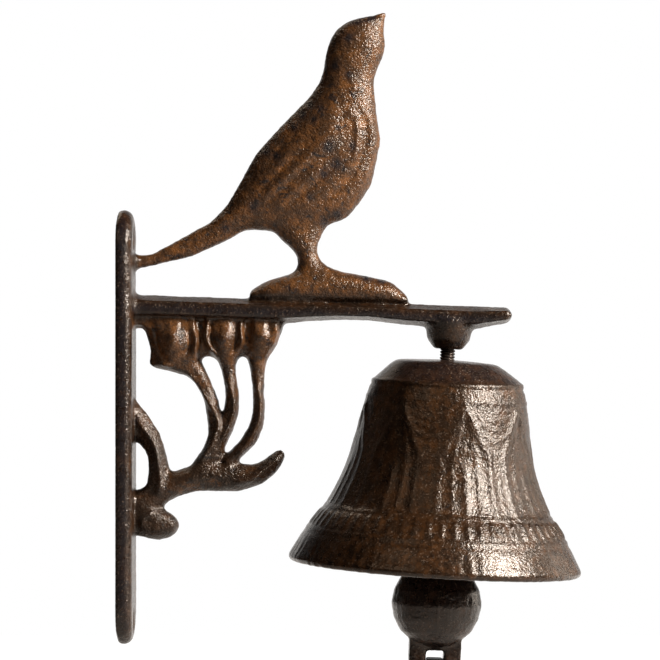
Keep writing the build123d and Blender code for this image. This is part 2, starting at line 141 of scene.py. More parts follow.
def stroke(x, z, line, half_width, fade=3.0):
    """The hump of a line of places (x, z), fading out over its ends."""
    line = smooth_line(line, count=40)
    run = run_along(line)
    best = np.full(len(x), np.inf)
    along = np.zeros(len(x))
    for a, b, start in zip(line, line[1:], run):
        step = b - a
        square = max(float(step @ step), 1e-9)
        t = np.clip(((x - a[0]) * step[0] + (z - a[1]) * step[1]) / square, 0, 1)
        distance = np.hypot(x - a[0] - t * step[0], z - a[1] - t * step[1])
        nearer = distance < best
        best[nearer] = distance[nearer]
        along[nearer] = (start + t * math.sqrt(square))[nearer]
    ends = rise(np.minimum(along, run[-1] - along), 0, fade)
    return hump(best, half_width) * ends


def distance_from(place, x, z):
    """How far points lie from a place (x, z)."""
    return np.hypot(x - place[0], z - place[1])


def grain(points, size, seed):
    """Smooth noise from -1 to 1 at points, with lumps of about that size."""
    shift = Vector((seed * 7.1, seed * 3.3, seed * 5.7))
    return np.array([noise.noise(Vector(p) / size + shift) for p in points])


def sand_marks(points, layers):
    """The height of the mould sand's marks at points, from layers of height, lump size and seed."""
    return sum(height * grain(points, size * mm, seed) for height, size, seed in layers)


# Meshes

def placed(name, mesh, body, node):
    """The mesh as a piece on its body and in its node's place."""
    piece = bpy.data.objects.new(name, mesh)
    bpy.context.scene.collection.objects.link(piece)
    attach(piece, body)
    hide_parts(node)
    return piece


def mesh_piece(name, points, faces, body, node):
    """A smooth-shaded piece from points and faces."""
    mesh = bpy.data.meshes.new(name)
    mesh.from_pydata([tuple(p) for p in points], [], [tuple(int(i) for i in f) for f in faces])
    mesh.update()
    for polygon in mesh.polygons:
        polygon.use_smooth = True
    return placed(name, mesh, body, node)


def grid_faces(rows, columns, close_rows=False):
    """Quads over rows of points that close round their columns."""
    faces = []
    for r in range(rows if close_rows else rows - 1):
        low, high = r * columns, (r + 1) % rows * columns
        for c in range(columns):
            n = (c + 1) % columns
            faces.append((low + c, low + n, high + n, high + c))
    return faces


def outward(piece):
    """Turns the piece's faces to look outwards."""
    work = bmesh.new()
    work.from_mesh(piece.data)
    bmesh.ops.recalc_face_normals(work, faces=work.faces)
    work.to_mesh(piece.data)
    work.free()


def store(piece, **layers):
    """Keeps numbers for the piece's material: one for each of its points, or one for all of them."""
    for name, values in layers.items():
        layer = piece.data.attributes.new(name, "FLOAT", "POINT")
        layer.data.foreach_set("value", np.full(len(layer.data), np.ravel(values), np.float32))


def lathe(origin, up, across, radii, heights):
    """Points of a turned form, from arrays of radius and height with a row for each ring."""
    turns = full_turn(radii.shape[1])
    aside = np.array(up.cross(across))
    spokes = np.cos(turns)[:, None] * np.array(across) + np.sin(turns)[:, None] * aside
    points = np.array(origin) + radii[..., None] * spokes[None] + heights[..., None] * np.array(up)
    return points.reshape(-1, 3)


def ring_of_wire(centre, across, up, middle, wire, turns, sides):
    """Points and faces of a closed ring of round wire, from its middle radius and the wire's own."""
    normal = np.array(across.cross(up))
    points = []
    for turn in full_turn(turns):
        spoke = np.array(across) * math.cos(turn) + np.array(up) * math.sin(turn)
        for s in full_turn(sides):
            out = spoke * (middle + wire * math.cos(s)) + normal * wire * math.sin(s)
            points.append(np.array(centre) + out)
    return np.array(points), grid_faces(turns, sides, close_rows=True)


def remeshed(node, voxel):
    """The node's packed form as an even skin of small quads: its points, edges and faces."""
    copy = bpy.data.objects.new(node + "_work", nodes[node].data.copy())
    bpy.context.scene.collection.objects.link(copy)
    skin = copy.modifiers.new("skin", "REMESH")
    skin.mode = "VOXEL"
    skin.voxel_size = voxel
    bpy.context.view_layer.update()
    graph = bpy.context.evaluated_depsgraph_get()
    mesh = bpy.data.meshes.new_from_object(copy.evaluated_get(graph))
    bpy.data.objects.remove(copy)
    points = np.empty(len(mesh.vertices) * 3)
    mesh.vertices.foreach_get("co", points)
    edges = np.empty(len(mesh.edges) * 2, int)
    mesh.edges.foreach_get("vertices", edges)
    faces = [tuple(p.vertices) for p in mesh.polygons]
    bpy.data.meshes.remove(mesh)
    return points.reshape(-1, 3), edges.reshape(-1, 2), faces


def relax(points, edges, steps, share):
    """Moves each point towards the middle of its neighbours, by one share or by a share for each."""
    count = len(points)
    degree = np.bincount(edges.ravel(), minlength=count)[:, None]
    for _ in range(steps):
        total = np.empty_like(points)
        for k in range(points.shape[1]):
            total[:, k] = np.bincount(edges[:, 0], points[edges[:, 1], k], count)
            total[:, k] += np.bincount(edges[:, 1], points[edges[:, 0], k], count)
        points = points + share * (total / degree - points)
    return points


def rounded_off(points, edges, passes):
    """Smooths the skin's facets without shrinking it: each pass pulls in and then pushes back out."""
    for _ in range(passes):
        points = relax(points, edges, steps=1, share=0.5)
        points = relax(points, edges, steps=1, share=-0.52)
    return points


def evened(points, edges, steps, share):
    """Rounds the corners between long facets and gives back what the smoothing took off the size."""
    smooth = relax(points, edges, steps, share)
    return smooth - relax(smooth - points, edges, steps, share)


def normals(points, faces):
    """The unit normal at each point."""
    quads = np.array([f if len(f) == 4 else (*f, f[2]) for f in faces])
    a, b, c, d = (points[quads[:, k]] for k in range(4))
    cross = np.cross(c - a, d - b)
    total = np.zeros_like(points)
    for k in range(4):
        for axis in range(3):
            total[:, axis] += np.bincount(quads[:, k], cross[:, axis], len(points))
    return total / np.maximum(np.linalg.norm(total, axis=1), 1e-12)[:, None]


# Bracket: places (x, z) are from the wall and from the middle of the plate

bird_lines = [  # what both faces of the casting carry: height, half width, line
    (-0.5, 0.9, [(77.5, 108.5), (81.3, 103), (82.6, 97.3), (81.8, 91.5), (79, 85), (75, 80), (70, 76.2), (65, 72.5)]),
    (0.4, 0.7, [(76.5, 106), (79.3, 101.5), (79.8, 97), (79.3, 91), (77.6, 85.5)]),
    (0.35, 0.8, [(81.5, 107), (84.4, 102), (85.2, 97), (84.8, 91), (83.4, 85.5), (79.5, 79), (74.5, 74)]),
    (-0.35, 0.8, [(66.5, 95.5), (59.3, 89.5), (51.5, 82.3), (44, 74.6)]),
    (-0.3, 0.8, [(70.5, 92), (62.5, 85.5), (55, 79), (48, 72.4)]),
    (-0.3, 0.8, [(73.3, 87.3), (66, 81), (59.3, 75.5), (54, 71)]),
    (-0.25, 0.8, [(60.5, 99), (54, 92.3), (48, 85)]),
    (0.25, 0.8, [(68.5, 94), (61, 87.5), (53.3, 80.5), (46, 73.5)]),
    (0.25, 0.8, [(72, 89.7), (64.3, 83), (57, 77.2), (51, 71.6)]),
    (0.25, 0.8, [(63.5, 97.5), (56.5, 91), (49.5, 83.5)]),
    (0.3, 0.9, [(67.5, 68.5), (64.7, 62), (64.3, 55)]),
    (-0.3, 1.0, [(41, 70), (30, 63.5), (17, 57.5)]),
    (0.3, 0.7, [(80, 134), (83.5, 135.8), (87, 137)]),
]
scroll_lines = [  # the same on the scrolls and the tulips
    (0.9, 0.9, [(22.8, 19), (27.5, 12), (32.4, 5.2), (33.6, 1.3), (32.8, -2), (30.9, -6.3), (27, -12)]),
    (0.8, 0.9, [(36.5, 17), (38.6, 10), (38.9, 6), (38.5, 4), (37.3, 0.7), (34, -6)]),
    (0.8, 0.9, [(46.5, 15), (47.6, 8), (47.2, 3), (46.6, 1), (43.5, -5), (39, -10.5)]),
    (1.2, 1.2, [(3.5, 7.5), (6.4, 2.5), (10.2, -2.1), (12.9, -7.1), (13.7, -12.4), (14.4, -17.8), (13.3, -22.8)]),
    (1.0, 1.1, [(38, -18.6), (43.9, -17.4), (48.5, -14.3), (52.3, -11.3), (55, -8.6)]),
    (-0.6, 1.4, [(20, -22), (28, -19.2), (36, -18.6)]),
    (0.8, 0.8, [(13.7, -27.3), (11, -28.6), (8.7, -30), (8.6, -32), (9.6, -34)]),
    (0.6, 0.9, [(17.2, -30), (18.5, -32.5), (17.5, -35.5)]),
    (-0.6, 1.5, [(13.5, -32.5), (14.5, -33)]),
    (0.9, 2.6, [(18.6, 36), (18.8, 31), (18.4, 24.5)]),
    (-0.8, 0.7, [(13.2, 36), (12.9, 31), (14.2, 25), (17.5, 22.4)]),
    (-0.9, 0.6, [(23.6, 36), (24.3, 31), (24.2, 27), (22.4, 23.4)]),
    (0.9, 0.8, [(24.6, 35.6), (26.0, 31.7), (26.5, 27.7), (25.4, 22.6)]),
    (0.7, 0.7, [(12.2, 21.4), (15.6, 20.6), (19.2, 20.4)]),
    (-0.9, 0.7, [(28.0, 36), (27.8, 31), (28.6, 26.5)]),
    (0.9, 0.8, [(30.1, 35.6), (29.4, 32.0), (30.3, 27.7), (33.2, 23.2)]),
    (-0.8, 0.6, [(31.6, 36), (31.1, 31.5), (32.2, 27.5), (34.4, 24)]),
    (0.9, 2.2, [(35.6, 36), (35.5, 31), (35.8, 26.5)]),
    (-0.8, 0.6, [(39.0, 36), (39.7, 31), (39, 27), (37.6, 24)]),
    (0.9, 0.7, [(40.2, 35.6), (41.2, 31.7), (41.4, 28), (39.6, 24.4)]),
    (-0.8, 0.7, [(42.6, 36), (42.8, 31), (44.2, 26.8)]),
    (0.9, 2.3, [(48.0, 36), (48.2, 31.5), (47.6, 28)]),
    (0.7, 0.7, [(43.0, 27), (46, 23.8)]),
]
relief_share = 1.25  # what the heights above are multiplied by
bird_line_spread, bird_line_fade = 1.2, 9.0
black_places = [  # worn patches of black on the bird: a place and a half width
    (76.7, 129.3, 1.4), (72.3, 120, 1.3), (77, 117, 1.2), (64, 107, 1.2), (61.3, 104, 1.4), (67.3, 105.7, 1.0),
    (65.3, 102.3, 1.0), (58.7, 99.7, 1.2), (49, 92.3, 1.6), (53, 90, 1.2), (70.3, 93, 1.8), (78, 93.3, 1.2),
    (72.7, 87.3, 1.7), (68.7, 84, 1.5), (64, 76.3, 1.0), (73, 70.7, 1.3), (68.7, 68.3, 1.2), (45.3, 73.3, 1.4),
    (36.0, 66.0, 1.2), (83.0, 50.5, 1.6), (88.0, 49.0, 1.4),
]
black_spread = 1.35
black_cap = [(70.2, 128), (71.5, 131.5), (75, 134.3), (80, 135.2), (86.5, 136.5)]
black_plate_line = [(2.2, 71), (2.4, 0), (2.2, -71)]
beak_tip = (88.9, 137.8)
fuller_places = [  # where the bird's outline is rounder than its solid: a place and the move out from there
    (86.0, 92, 0.7, 0.0), (84.5, 82.5, 0.9, -0.2), (80.5, 74, 1.15, -0.9), (75.0, 67.5, 0.6, -0.9),
]
fuller_reach = 6.0
plate_corners = [(44.4, 3.6), (52.2, 2.6), (57.4, 2.6)]  # what joins the plate's front: height and reach
plate_front = 5.4
plain_end_z = 67  # where the plate's plain ends begin
arm_top_z, arm_height = 44.2, 10.8
arm_slope = math.sin(math.radians(1.97))
scrolls_end_x, tulips_end_x, stems_end_x, arm_end_x = 70, 56, 54, 128
tulips_foot_z = 20.5
zone_fade = 2.0
# How far below the arm's top lie the band of painted light (a brighter rust colour in the shaded recess) and the arm
# side's black.
painted_light_below_arm_top, black_below_arm_top = 10, 4.6
black_plate_end_x = 4.6
bracket_voxel = 0.61 * mm
bracket_sand = [(0.07, 2.0, 1), (0.09, 1.1, 2), (0.10, 7, 3)]  # height, lump size, seed


def bracket_zones(x, z):
    """The arm's top by each point, and the point's shares in the bird, the scrolls and the tulips."""
    arm_line = arm_top_z - arm_slope * (x - plate_front)
    off_plate = rise(x, plate_front + 0.6, zone_fade)
    on_bird = off_plate * rise(z - arm_line, 1.2, zone_fade)
    on_scrolls = off_plate * rise(arm_line - z, arm_height, zone_fade) * (x < scrolls_end_x)
    on_tulips = on_scrolls * rise(z, tulips_foot_z, 3) * (x < tulips_end_x)
    return arm_line, on_bird, on_scrolls, on_tulips


def smoothed_bracket(points, edges, on_bird, on_scrolls, on_tulips):
    """The solid's facets rounded off, most on the bird, and with fillets where it meets the plate."""
    x, _, z = (points / mm).T
    off_beak = rise(distance_from(beak_tip, x, z), 3, 6)
    fillets = 0.6 * rise(np.abs(z), plain_end_z, 4) * (x < plate_front + 0.5)
    for place_z, reach in plate_corners:
        fillets = np.maximum(fillets, hump(distance_from((plate_front, place_z), x, z), reach))
    points = rounded_off(relax(points, edges, steps=2, share=0.5), edges, passes=16)
    all_ways = 0.5 * np.maximum(on_bird * off_beak, 0.7 * on_scrolls)
    points = evened(points, edges, steps=60, share=all_ways[:, None])
    in_depth = np.maximum(0.5 * on_bird, 0.12 * on_scrolls)
    points = relax(points, edges, steps=30, share=np.outer(in_depth, to_back))
    for *place, move_x, move_z in fuller_places:
        share = hump(distance_from(place, x, z), fuller_reach) * on_bird
        points += np.outer(share, (move_x * mm, 0, move_z * mm))
    points = relax(points, edges, steps=80, share=np.outer(0.5 * on_tulips, to_back))
    return relax(points, edges, steps=50, share=0.5 * fillets[:, None])


def bracket_relief(x, z, on_bird, on_scrolls):
    """The height of the cast lines at each point."""
    relief = np.zeros(len(x))
    for height, half_width, line in bird_lines:
        line_hump = stroke(x, z, line, bird_line_spread * half_width, bird_line_fade)
        relief += relief_share * height * line_hump * on_bird
    for height, half_width, line in scroll_lines:
        relief += relief_share * height * stroke(x, z, line, half_width) * on_scrolls
    return relief


def bracket_rust_and_painted_light(x, z, arm_line, on_bird, on_scrolls):
    """How much rust each point carries: all over the bird, more on the higher scrolls, and most under the arm, where
    the brighter rust colour is also painted light that lifts the recess out of its shade.
    """
    # Under the arm a brighter rust colour is painted light: it lifts a recess that lies in shade.
    painted_light_under_arm = hump(z - arm_line + painted_light_below_arm_top, 2.2) * (x > plate_front) * (x < stems_end_x)
    upwards = np.clip(0.22 + z / 45, 0.06, 0.75)
    return np.clip(on_bird + on_scrolls * upwards + 1.3 * painted_light_under_arm, 0, 1.5)


def bracket_black(x, z, arm_line, on_bird):
    """How black each point is: the bird's patches and cap, the arm's side and the plate's."""
    black = 0.9 * stroke(x, z, black_cap, half_width=1.9, fade=1.0)
    for *place, half_width in black_places:
        black = np.maximum(black, hump(distance_from(place, x, z), black_spread * half_width))
    arm_side = hump(z - arm_line + black_below_arm_top, 1.6) * (x > plate_front) * (x < arm_end_x)
    plate_side = stroke(x, z, black_plate_line, half_width=2.0, fade=4.0) * (x < black_plate_end_x)
    return np.clip(black * on_bird + 0.75 * arm_side + 0.7 * plate_side, 0, 1)


points, edges, faces = remeshed("bracket", bracket_voxel)
x, _, z = (points / mm).T
arm_line, on_bird, on_scrolls, on_tulips = bracket_zones(x, z)
off_flats = np.maximum(on_bird, on_scrolls)
points = smoothed_bracket(points, edges, on_bird, on_scrolls, on_tulips)
x, _, z = (points / mm).T
relief = bracket_relief(x, z, on_bird, on_scrolls)
to_side = np.clip(normals(points, faces)[:, 1] * 2.2, -1, 1)
points[:, 1] += relief * to_side * mm
sand = sand_marks(points, bracket_sand)
points += normals(points, faces) * (sand * (0.7 + 0.5 * off_flats) * mm)[:, None]
points[:, 0] = np.maximum(points[:, 0], 0)  # the plate's back stays on the wall
bracket = mesh_piece("bracket_casting", points, faces, "root", "bracket")
raised = relax((relief + 2 * sand)[:, None], edges, steps=3, share=0.5)[:, 0]
store(bracket,
      worn=np.clip(0.5 + 0.55 * raised, 0, 1),
      rusty=bracket_rust_and_painted_light(x, z, arm_line, on_bird, on_scrolls),
      black=bracket_black(x, z, arm_line, on_bird),
      grainy=np.clip(0.55 + 0.45 * off_flats + 0.1 * (x > plate_front), 0, 1))


# Bell: depths are from its crown down, and turns go from its front towards +X

bell_around = 480
outside_rows = 156
inside_rows = 42
outside_line = [  # radius, depth
    (2.75, 0.05), (4.5, 0.05), (12, 0.4), (16.2, 0.8), (18.4, 2.0), (21.3, 4.7), (24.2, 7.6), (24.9, 8.8),
    (25.4, 10.6), (26.1, 13.2), (27.0, 17.2), (27.8, 21.2), (28.5, 25.2), (29.4, 29.2), (30.3, 33.2), (31.5, 37.2),
    (33.0, 41.2), (34.8, 45.2), (36.9, 49.2), (39.6, 52.6), (41.9, 55.8), (44.0, 59.0), (45.6, 61.8), (47.1, 64.6),
    (48.3, 66.8), (48.7, 68.0), (48.2, 69.1), (47.2, 69.45),
]
inside_line = [
    (46.6, 69.3), (45.9, 67.5), (43.5, 62.5), (40, 57.5), (36, 53), (32.6, 47), (29.4, 39), (27, 30), (25, 20),
    (23.2, 11), (20.8, 6), (17, 4.1), (10, 4.0), (2.75, 4.0),
]
widest = 48.66  # no point of the skin goes further out
first_knot = math.radians(12.8)
drapes = 8
knot_depth, knot_height, knot_width = 15.0, 0.7, 2.2
rings = [(0.8, 7.9, 0.6), (-0.7, 9.1, 0.6), (0.4, 13.2, 0.5)]  # height, depth, half width
rib_rings = [(0.5, 50.4, 0.6), (0.35, 57.9, 0.55), (-0.3, 59.3, 0.8)]
swags = [  # height, depth in the middle and at the ends, half width
    (0.45, 25.6, 15.2, 1.1), (0.25, 22.2, 15.6, 0.9), (0.22, 19.2, 15.8, 0.8),
]
folds = [(1.0, 1.5, 16.5, 0.012), (0.4, 0.9, 8.0, 0)]  # height, half width, degrees that it spreads, waviness
folds_top, folds_foot = 15.5, 50.2
knot_tail_top, knot_tail_height, knot_tail_width = 32, 0.8, 1.3
middle_fold_top, middle_fold_height, middle_fold_width = 27, 0.35, 1.0
rib_count = 60
ribs_top, ribs_foot, rib_end = 51.3, 57.1, 0.9
ornament_share = 0.62  # of the heights above, as the worn casting has them
pit_turn, pit_depth, pit_width = math.radians(32.8), 31.4, 0.8
chip_turn, chip_depth, chip_width, chip_stretch = math.radians(25), 49.2, 1.3, 3.2
lip_depth, drips_depth = 59, 60  # where they begin
fuller_shoulder, shoulder_depth = 1.3, 8  # the push on the side away from the wall, and where it starts to fade
bell_sand = [(0.05, 2.2, 4), (0.07, 1.2, 5), (0.14, 10, 6)]  # height, lump size, seed
drip_height, drip_seed = 0.16, 7


def bell_relief(turn, depth, radius):
    """The height of the cast ornament: rings, hung drapery with its knots and folds, and a band of ribs."""
    step = 2 * math.pi / drapes
    phase = (turn - first_knot) / step
    from_knot = (phase - np.round(phase)) * step
    between = (phase - np.floor(phase)) - 0.5
    wobble = 0.35 * np.sin(turn * 5 + 0.7) + 0.25 * np.sin(turn * 13)
    height = sum(tall * hump(depth - ring_depth, width) for tall, ring_depth, width in rings)
    for tall, low, top, width in swags:
        swag = low + 0.4 * wobble - (low - top) * (2 * between) ** 2
        towards_knots = np.clip((0.5 - np.abs(between)) / 0.05, 0.3, 1)
        height += tall * hump(depth - swag, width) * towards_knots
    height += knot_height * hump(np.hypot(from_knot * radius, depth - knot_depth), knot_width)
    spread = rise(depth, folds_top, over=15.5)
    above_foot = fall(depth, folds_foot, 1.5)
    hanging = rise(depth, folds_top, 3) * above_foot
    for tall, width, degrees, wavy in folds:
        for side in (-1, 1):
            fold = side * math.radians(degrees) * spread + wavy * wobble
            height += tall * hump((from_knot - fold) * radius, width) * hanging
    knot_tail = hump(from_knot * radius, knot_tail_width) * rise(depth, knot_tail_top, 5)
    height += knot_tail_height * knot_tail * above_foot
    middle_fold = hump(between * step * radius, middle_fold_width) * rise(depth, middle_fold_top, 8)
    height += middle_fold_height * middle_fold * fall(depth, folds_foot, 2)
    for tall, ring_depth, width in rib_rings:
        height += tall * hump(depth - ring_depth - 0.25 * wobble, width)
    rib = np.cos(turn * rib_count / 2) ** 4
    rib_height = 0.8 + 0.2 * np.cos(turn - 0.25)
    height += rib_height * rib * rise(depth, ribs_top, rib_end) * fall(depth, ribs_foot, rib_end)
    return ornament_share * height


def bell_skin():
    """The bell's points, outside and then inside, and what its material has to know of each."""
    line = np.vstack([smooth_line(outside_line, outside_rows), smooth_line(inside_line, inside_rows)])
    turn = np.tile(full_turn(bell_around) + math.pi / 2, (len(line), 1))
    radius = np.repeat(line[:, :1], bell_around, axis=1)
    depth = np.repeat(line[:, 1:], bell_around, axis=1)
    way = directions(line)
    normal_out, normal_down = way[:, 1:], -way[:, :1]
    outside = (np.arange(len(line)) < outside_rows)[:, None]
    wall_side = np.clip(0.5 + 0.8 * np.cos(turn + 1.5), 0, 1)  # smoother than the rest

    unworn = 0.75 - 0.25 * np.cos(turn + 0.9)
    relief = bell_relief(turn, depth, radius) * rise(radius, 6, 4) * unworn
    relief -= 0.9 * hump(np.hypot((turn - pit_turn) * radius, depth - pit_depth), pit_width)
    chip = hump(np.hypot((turn - chip_turn) * radius / chip_stretch, depth - chip_depth), chip_width)
    relief += 0.8 * chip * np.sin(turn * 90) ** 2
    relief *= outside

    skin = lathe(crown, hang_up, hang_across, radius * mm, -depth * mm)
    sand = sand_marks(skin, bell_sand).reshape(radius.shape)
    on_lip = rise(depth, lip_depth, 3)
    sand *= (1 - 0.5 * on_lip) * (1 - 0.4 * wall_side)
    streaks = np.stack([turn.ravel() * 22, depth.ravel() * 0.06, np.zeros(turn.size)], axis=1)
    drips = grain(streaks, 1.0, drip_seed).reshape(radius.shape)
    drips *= drip_height * rise(depth, drips_depth, 4) * outside
    fuller_side = np.clip(np.sin(turn), 0, 1) ** 1.5 * rise(depth, 1.5, 5)
    shoulder = hump(np.maximum(depth - shoulder_depth, 0), 14) * fuller_side * outside
    push = (relief + sand + drips) * rise(radius, 3, 6) + fuller_shoulder * shoulder

    layers = {
        "worn": np.clip(0.42 + 0.5 * (relief + 1.5 * sand), 0, 1),
        "rusty": 0.4,
        "black": 0.42 * fall(depth, 8.4, 2.5) * outside,
        "grainy": (1 - 0.45 * wall_side) * (1 - 0.35 * on_lip),
    }
    radius = np.minimum(radius + push * normal_out, widest)
    depth = depth + push * normal_down
    return lathe(crown, hang_up, hang_across, radius * mm, -depth * mm), layers


bell_points, bell_layers = bell_skin()
bell_faces = grid_faces(outside_rows + inside_rows, bell_around, close_rows=True)
bell = mesh_piece("bell_casting", bell_points, bell_faces, "bell", "bell")
outward(bell)
store(bell, **bell_layers)


# Clapper

clapper_voxel = 0.42 * mm
clapper_sand = [(0.09, 2.4, 8), (0.07, 1.0, 9), (0.2, 7, 10)]  # height, lump size, seed
seam_height, seam_half_width, seam_reach = 0.22, 0.35, 14

points, edges, faces = remeshed("clapper", clapper_voxel)
points = rounded_off(relax(points, edges, steps=4, share=0.5), edges, passes=30)
sand = sand_marks(points, clapper_sand)
away = (points - np.array(bulb_centre)) / mm
across_seam, along_seam = away @ np.array(swing_across), away @ np.array(swing_up)
seam = seam_height * hump(across_seam, seam_half_width) * fall(np.abs(along_seam), seam_reach, seam_reach)
points += normals(points, faces) * ((sand + seam) * mm)[:, None]
clapper = mesh_piece("clapper_casting", points, faces, "clapper", "clapper")
store(clapper, worn=np.clip(0.4 + sand, 0, 1), rusty=0.15, black=0.35, grainy=0.6)


# Rod with its thread and eye: heights are from the bell's crown, up the rod

thread_pitch = 1.0
rod_radius, thread_root = 2.5, 2.02
rod_top, rod_foot, thread_foot = 14.0, -14.4, -11.2
rod_around, rod_rows = 40, int((rod_top - rod_foot) * 10)
eye_middle, eye_wire = 5.1, 1.88
closed_end = 0.02  # the radius where a turned form closes

heights = np.linspace(rod_foot, rod_top, rod_rows)[:, None]
spin = (np.arange(rod_around) / rod_around)[None]
tooth = np.abs(((heights / thread_pitch + spin) % 1) - 0.5) * 2
radii = thread_root + (rod_radius - thread_root) * np.clip(tooth * 1.5, 0, 1)
radii = rod_radius + (radii - rod_radius) * rise(heights, thread_foot, 0.8)
radii[0], radii[-1] = closed_end, closed_end
rod_points = lathe(crown, hang_up, hang_across, radii * mm, np.repeat(heights, rod_around, axis=1) * mm)
rod_faces = grid_faces(rod_rows, rod_around)
eye_points, eye_faces = ring_of_wire(
    bolt_eye, to_back, hang_up, eye_middle * mm, eye_wire * mm, turns=56, sides=18)
all_points = np.vstack([rod_points, eye_points])
all_faces = rod_faces + [tuple(i + len(rod_points) for i in f) for f in eye_faces]
eye_bolt = mesh_piece("threaded_rod", all_points, all_faces, "root", "eye_bolt")
outward(eye_bolt)

# Hanging ring

ring_middle, ring_wire = 5.9, 1.28
ring_points, ring_faces = ring_of_wire(
    ring_centre, hang_across, hang_up, ring_middle * mm, ring_wire * mm, turns=56, sides=16)
hanging_ring = mesh_piece("wire_ring", ring_points, ring_faces, "ring", "hanging_ring")
outward(hanging_ring)


# Nut and washer

def fastener(name, node, width):
    """The node's own form with its edges rounded off."""
    mesh = nodes[node].data.copy()
    for polygon in mesh.polygons:
        polygon.use_smooth = False
    piece = placed(name, mesh, "root", node)
    weld = piece.modifiers.new("weld", "WELD")
    weld.merge_threshold = 0.005 * mm
    bevel = piece.modifiers.new("bevel", "BEVEL")
    bevel.width = width
    bevel.segments = 3
    bevel.limit_method = "ANGLE"
    bevel.angle_limit = math.radians(40)
    return piece


washer = fastener("plain_washer", "bell_washer", 0.18 * mm)
nut = fastener("hexagon_nut", "bell_nut", 0.35 * mm)

# Pull strap

strap_width, strap_thickness = 5.4, 1.6
strap_sides = 20
strap_route = [  # towards the back and up, from the bulb's centre, in the plane across the swing
    (0.82, -47), (0.82, -44.5), (0.84, -41), (1.2, -37.6), (3.0, -32.6), (4.6, -28.6), (4.92, -26), (4.92, -22.6),
    (4.9, -20.6), (4.0, -19.2), (2.4, -18.95), (0, -18.93), (-2.4, -18.95), (-4.0, -19.2), (-4.9, -20.6),
    (-4.92, -22.6), (-4.92, -26), (-4.6, -28.6), (-3.0, -32.6), (-1.2, -37.6), (-0.84, -41), (-0.82, -44.5),
    (-0.82, -60), (-0.82, -80), (-0.82, -100), (-0.82, -125.97),
]

route = bpy.data.curves.new("strap_route", "CURVE")
route.dimensions = "3D"
route.resolution_u = 10
spline = route.splines.new("NURBS")
spline.points.add(len(strap_route) - 1)
for point, (back, up) in zip(spline.points, strap_route):
    point.co = (*(bulb_centre + to_back * back * mm + swing_up * up * mm), 1)
spline.order_u = 3
spline.use_endpoint_u = True
route_holder = bpy.data.objects.new("strap_route", route)
route_mesh = bpy.data.meshes.new_from_object(route_holder)
strap_line = [vertex.co.copy() for vertex in route_mesh.vertices]
bpy.data.objects.remove(route_holder)
bpy.data.meshes.remove(route_mesh)

section = []  # flat, with rounded edges
for turn in full_turn(strap_sides):
    c, s = math.cos(turn), math.sin(turn)
    wide = math.copysign(abs(c) ** 0.25, c) * strap_width / 2
    thick = math.copysign(abs(s) ** 0.5, s) * strap_thickness / 2
    section.append((wide, thick))
offsets = [place - bulb_centre for place in strap_line]
strap_path = np.array([(offset.y / mm, offset.dot(swing_up) / mm) for offset in offsets])
points = []
for place, (way_back, way_up) in zip(strap_line, directions(strap_path)):
    through = to_back * -way_up + swing_up * way_back
    points += [place + swing_across * wide * mm + through * thick * mm for wide, thick in section]
faces = grid_faces(len(strap_line), strap_sides)
faces.append(tuple(range(strap_sides)))
faces.append(tuple(range(len(points) - strap_sides, len(points))))
strap = mesh_piece("leather_strap", points, faces, "clapper", "pull_strap")
outward(strap)

# Rivet through both lengths of the strap

rivet_drop = 42.5
rivet_around = 40
head_profile = [  # radius, height from the rivet's middle
    (closed_end, 2.52), (0.8, 2.46), (1.5, 2.28), (2.0, 2.0), (2.2, 1.72), (2.1, 1.63), (1.2, 1.62),
]
profile = np.array(head_profile + [(radius, -height) for radius, height in reversed(head_profile)])
radii, heights = (np.repeat(profile[:, k:k + 1], rivet_around, axis=1) * mm for k in range(2))
rivet_centre = bulb_centre - swing_up * rivet_drop * mm
points = lathe(rivet_centre, to_back, swing_across, radii, heights)
faces = grid_faces(len(profile), rivet_around)
rivet = mesh_piece("domed_rivet", points, faces, "clapper", "strap_rivet")
outward(rivet)

tuple(strap_line[0])
[tuple(p) for p in strap_line]


# Materials

class NodeKit:
    """Short calls that make and join the nodes of a material or of the world."""

    def __init__(self, owner):
        owner.use_nodes = True
        self.tree = owner.node_tree
        self.tree.nodes.clear()

    def make(self, kind, inputs=None, **settings):
        """A new node, with each input set to a constant or joined to another node's output."""
        node = self.tree.nodes.new("ShaderNode" + kind)
        for name, value in settings.items():
            setattr(node, name, value)
        for key, value in (inputs or {}).items():
            socket = node.inputs[key]
            if isinstance(value, bpy.types.NodeSocket):
                self.tree.links.new(value, socket)
            elif socket.type == "RGBA":
                socket.default_value = (*value, 1)
            else:
                socket.default_value = value
        return node

    def object_place(self):
        """Each point's place in its object's own axes."""
        return self.make("TexCoord").outputs["Object"]

    def math(self, operation, a, b):
        """The outcome of a mathematical operation on two values."""
        return self.make("Math", {0: a, 1: b}, operation=operation).outputs[0]

    def span(self, value, low, high, to_low=0.0, to_high=1.0):
        """The value brought from one range to another, and held inside that."""
        limits = {"From Min": low, "From Max": high, "To Min": to_low, "To Max": to_high}
        return self.make("MapRange", {"Value": value, **limits}).outputs["Result"]

    def blend(self, share, below, above):
        """A colour between two others."""
        return self.make("Mix", {"Factor": share, 6: below, 7: above}, data_type="RGBA").outputs[2]

    def lumps(self, place, size, detail=2, roughness=0.5, distortion=0.0):
        """Noise with lumps of about that size."""
        inputs = {"Vector": place, "Scale": 1 / (size * mm), "Detail": detail, "Roughness": roughness,
                  "Distortion": distortion}
        return self.make("TexNoise", inputs).outputs["Fac"]


